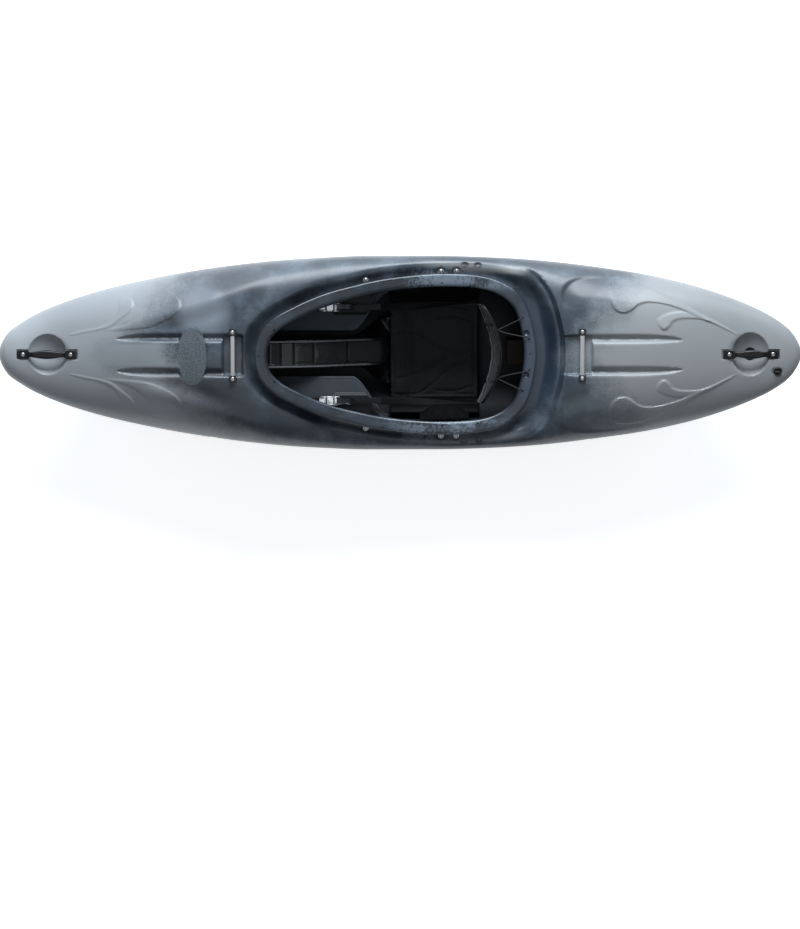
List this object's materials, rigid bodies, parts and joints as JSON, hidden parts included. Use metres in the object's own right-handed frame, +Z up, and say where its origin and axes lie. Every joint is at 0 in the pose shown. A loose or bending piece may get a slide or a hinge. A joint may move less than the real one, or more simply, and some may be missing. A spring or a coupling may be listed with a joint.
{
  "type": "whitewater kayak",
  "caption": "Whitewater kayak with a grey and slate moulded shell, keyhole cockpit, padded seat, backband, thigh braces, footrest, grab handles and security bars.",
  "frame": {"origin": "on the keel's flat, at the middle of the length and beam", "axes": "+X towards the stern, +Y to starboard, +Z up"},
  "size_m": [2.6, 0.63, 0.3973],
  "materials": {
    "shell": "satin rotomoulded polyethylene, grey ends and mottled slate middle",
    "black_plastic": "fine moulded texture",
    "stainless": "polished stainless",
    "chrome": "bright pressed steel",
    "aluminium": "satin",
    "rubber": "matte",
    "grey_foam": "closed-cell foam, cut faces",
    "brown_foam": "closed-cell foam, cut faces",
    "black_fabric": "coated woven cover over foam",
    "webbing": "woven webbing"
  },
  "bodies": {
    "hull": {"hull_shell": "shell", "bow_handle": "black_plastic", "bow_handle_bolt_front": "stainless", "bow_handle_bolt_rear": "stainless", "stern_handle": "black_plastic", "stern_handle_bolt_front": "stainless", "stern_handle_bolt_rear": "stainless", "front_security_bar": "stainless", "front_bar_pad_left": "black_plastic", "front_bar_pad_right": "black_plastic", "front_bar_screw_left": "stainless", "front_bar_screw_right": "stainless", "rear_security_bar": "stainless", "rear_bar_screw_left": "stainless", "rear_bar_screw_right": "stainless", "thigh_brace_bolt_left": "stainless", "thigh_brace_bolt_right": "stainless", "seat_bolt_front_left": "stainless", "seat_bolt_front_right": "stainless", "seat_bolt_rear_left": "stainless", "seat_bolt_rear_right": "stainless", "rail_bolt_front_left": "stainless", "rail_bolt_front_right": "stainless", "rail_bolt_rear_left": "stainless", "rail_bolt_rear_right": "stainless", "front_pillar": "grey_foam", "bow_pillar": "grey_foam", "stern_pillar": "brown_foam", "seat_pan": "black_plastic", "seat_cover": "black_fabric", "seat_hanger_left": "black_plastic", "seat_hanger_right": "black_plastic", "hip_pad_left": "black_fabric", "hip_pad_right": "black_fabric", "backband_cord_left": "webbing", "backband_cord_right": "webbing", "ratchet_base_left": "chrome", "ratchet_base_right": "chrome", "thigh_brace_left": "black_plastic", "thigh_brace_right": "black_plastic", "thigh_pad_left": "grey_foam", "thigh_pad_right": "grey_foam", "footrest_guide_left": "black_plastic", "footrest_guide_right": "black_plastic"},
    "footrest": {"footrest_frame": "aluminium", "footrest_foam": "grey_foam"},
    "backband": {"backband_frame": "black_plastic", "backband_pad": "black_fabric", "backband_strap_left": "webbing", "backband_strap_right": "webbing", "ladder_strap_left": "black_plastic", "ladder_strap_right": "black_plastic"},
    "left_lever": {"ratchet_lever_left": "chrome"},
    "right_lever": {"ratchet_lever_right": "chrome"},
    "left_release": {"ratchet_release_left": "chrome"},
    "right_release": {"ratchet_release_right": "chrome"},
    "drain_seal": {"drain_gasket": "rubber"},
    "drain_screw": {"drain_plug": "black_plastic"}
  },
  "joints": [
    {"name": "footrest_slide", "type": "slide", "parent": "hull", "child": "footrest", "axis": [1, 0, 0], "range_m": [-0.1, 0.1]},
    {"name": "backband_slide", "type": "slide", "parent": "hull", "child": "backband", "axis": [-1, 0, 0], "range_m": [0, 0.06], "deforming": ["backband_cord_left", "backband_cord_right"]},
    {"name": "left_lever_swing", "type": "hinge", "parent": "hull", "child": "left_lever", "pos_m": [-0.2072, -0.152, 0.28422], "axis": [0, -1, 0], "range_deg": [0, 80]},
    {"name": "right_lever_swing", "type": "hinge", "parent": "hull", "child": "right_lever", "pos_m": [-0.2072, 0.152, 0.28422], "axis": [0, -1, 0], "range_deg": [0, 80]},
    {"name": "left_release_press", "type": "hinge", "parent": "hull", "child": "left_release", "pos_m": [-0.2452, -0.152, 0.28422], "axis": [0, -1, 0], "range_deg": [0, 20], "stiffness_Nm_per_rad": 0.1, "springref_deg": -5.73},
    {"name": "right_release_press", "type": "hinge", "parent": "hull", "child": "right_release", "pos_m": [-0.2452, 0.152, 0.28422], "axis": [0, -1, 0], "range_deg": [0, 20], "stiffness_Nm_per_rad": 0.1, "springref_deg": -5.73},
    {"name": "drain_lift", "type": "slide", "parent": "hull", "child": "drain_seal", "axis": [0, -0.3746, 0.9272], "range_m": [0, 0.008]},
    {"name": "drain_turn", "type": "hinge", "parent": "drain_seal", "child": "drain_screw", "pos_m": [1.21966, -0.054, 0.30236], "axis": [0, -0.3746, 0.9272], "range_deg": [0, 720]}
  ],
  "couplings": [
    {"joint": "drain_turn", "follows": "drain_lift", "rad_per_m": 1570.8}
  ]
}
